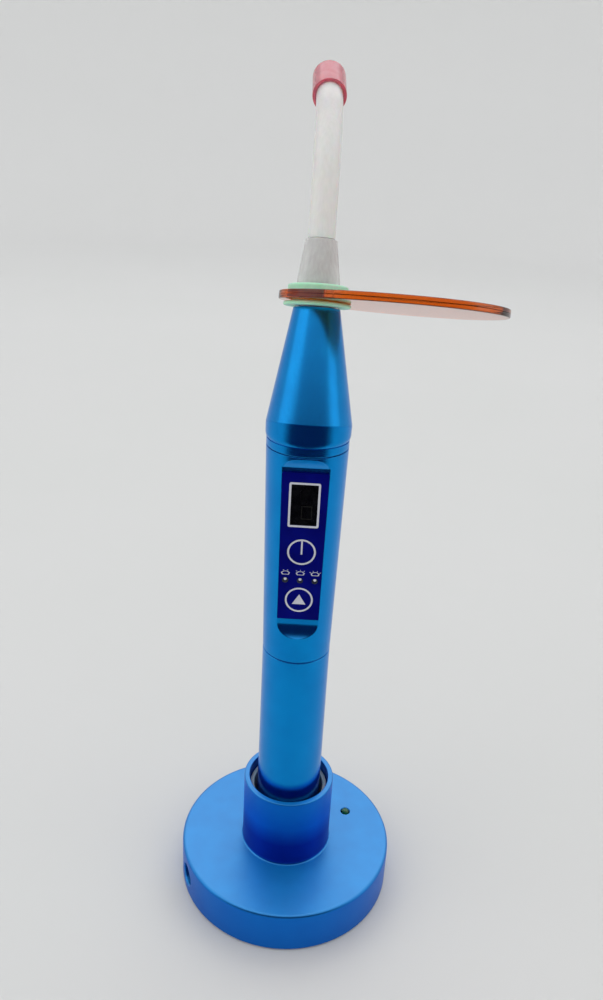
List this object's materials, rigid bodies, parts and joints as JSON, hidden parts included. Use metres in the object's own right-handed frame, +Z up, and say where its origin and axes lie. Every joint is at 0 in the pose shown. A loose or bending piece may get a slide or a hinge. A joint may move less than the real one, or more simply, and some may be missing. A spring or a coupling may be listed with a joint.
{
  "type": "dental curing light",
  "caption": "Cordless dental curing light in a round charging base: tapered barrel with a control panel, angled head, bent light guide, eye shield and soft tip cap.",
  "frame": {"origin": "centre of the underside of the round foot pad, on the surface that the light stands on", "axes": "+Z up along the barrel, -Y towards the control panel, +Y the way the head and the tip lean, +X the way the eye shield reaches"},
  "size_m": [0.1019, 0.0965, 0.2973],
  "materials": {
    "blue_metal": "satin blue anodised",
    "steel": "zinc plated",
    "bare_aluminium": "turned",
    "brass": "gold plated",
    "black_rubber": "matte",
    "grey_plastic": "milky, slightly see-through",
    "black_plastic": "moulded",
    "white_plastic": "moulded",
    "circuit_board": "solder mask",
    "green_lamp": "tinted lens",
    "cell_wrap": "shrink film",
    "label_film": "satin printed film",
    "dark_glass": "polished",
    "clear_plastic": "clear",
    "clear_glass": "polished",
    "frosted_glass": "fibre rod, milky",
    "mint_silicone": "soft satin",
    "orange_acrylic": "polished, see-through",
    "pink_silicone": "soft, slightly see-through",
    "red_wire": "smooth"
  },
  "bodies": {
    "base": {"base_housing": "blue_metal", "base_plate": "steel", "foot_pad": "black_rubber", "base_screw_1": "steel", "base_screw_2": "steel", "base_screw_3": "steel", "socket_liner": "grey_plastic", "pin_carrier": "black_plastic", "base_board": "circuit_board", "dc_jack": "black_plastic", "dc_jack_pin": "steel", "charge_lamp": "green_lamp"},
    "charge_pin_centre": {"charge_pin_centre": "brass"},
    "charge_pin_side": {"charge_pin_side": "brass"},
    "handpiece": {"barrel": "blue_metal", "tail_seal": "black_rubber", "battery_contact": "brass", "contact_board": "circuit_board", "panel_label": "label_film", "display_glass": "dark_glass", "display_module": "black_plastic", "power_switch": "steel", "mode_switch": "steel", "mode_lamp_left": "white_plastic", "mode_lamp_middle": "white_plastic", "mode_lamp_right": "white_plastic", "main_board": "circuit_board", "head_shell": "blue_metal", "heat_sink": "bare_aluminium", "emitter_board": "white_plastic", "emitter": "clear_plastic", "lens": "clear_plastic", "emitter_wire_red": "red_wire", "emitter_wire_black": "black_rubber"},
    "power_key": {"power_key": "label_film"},
    "mode_key": {"mode_key": "label_film"},
    "tail": {"tail_tube": "blue_metal", "tail_plug": "black_plastic", "tail_contact_centre": "brass", "tail_contact_ring": "brass", "battery_spring": "steel", "battery_cell": "cell_wrap"},
    "guide_seal": {"guide_seal": "black_rubber"},
    "light_guide": {"guide_ferrule": "clear_glass", "light_guide": "frosted_glass"},
    "shield": {"shield_grip": "mint_silicone", "shield": "orange_acrylic"},
    "tip_cap": {"tip_cap": "pink_silicone"}
  },
  "joints": [
    {"name": "handpiece_lift", "type": "slide", "parent": "base", "child": "handpiece", "axis": [0, 0, 1], "range_m": [0, 0.06]},
    {"name": "charge_pin_centre_press", "type": "slide", "parent": "base", "child": "charge_pin_centre", "axis": [0, 0, -1], "range_m": [0, 0.001], "stiffness_N_per_m": 150, "springref_m": -0.001},
    {"name": "charge_pin_side_press", "type": "slide", "parent": "base", "child": "charge_pin_side", "axis": [0, 0, -1], "range_m": [0, 0.001], "stiffness_N_per_m": 150, "springref_m": -0.001},
    {"name": "power_press", "type": "slide", "parent": "handpiece", "child": "power_key", "axis": [0, 0.9998, 0.0179], "range_m": [0, 0.0004], "stiffness_N_per_m": 600, "springref_m": -0.0002},
    {"name": "mode_press", "type": "slide", "parent": "handpiece", "child": "mode_key", "axis": [0, 0.9998, 0.0179], "range_m": [0, 0.0004], "stiffness_N_per_m": 600, "springref_m": -0.0002},
    {"name": "tail_turn", "type": "hinge", "parent": "handpiece", "child": "tail", "pos_m": [0, 0, 0.1], "axis": [0, 0, 1], "range_deg": [0, 1800]},
    {"name": "guide_pull", "type": "slide", "parent": "handpiece", "child": "guide_seal", "axis": [0.0113, 0.2484, 0.9686], "range_m": [0, 0.02]},
    {"name": "guide_turn", "type": "hinge", "parent": "guide_seal", "child": "light_guide", "pos_m": [0.00051, 0.01118, 0.22809], "axis": [0.0113, 0.2484, 0.9686], "continuous": true},
    {"name": "shield_turn", "type": "hinge", "parent": "light_guide", "child": "shield", "pos_m": [0.00051, 0.01118, 0.22809], "axis": [0.0113, 0.2484, 0.9686], "continuous": true},
    {"name": "cap_pull", "type": "slide", "parent": "light_guide", "child": "tip_cap", "axis": [-0.0278, 0.9225, 0.3851], "range_m": [0, 0.02]}
  ]
}
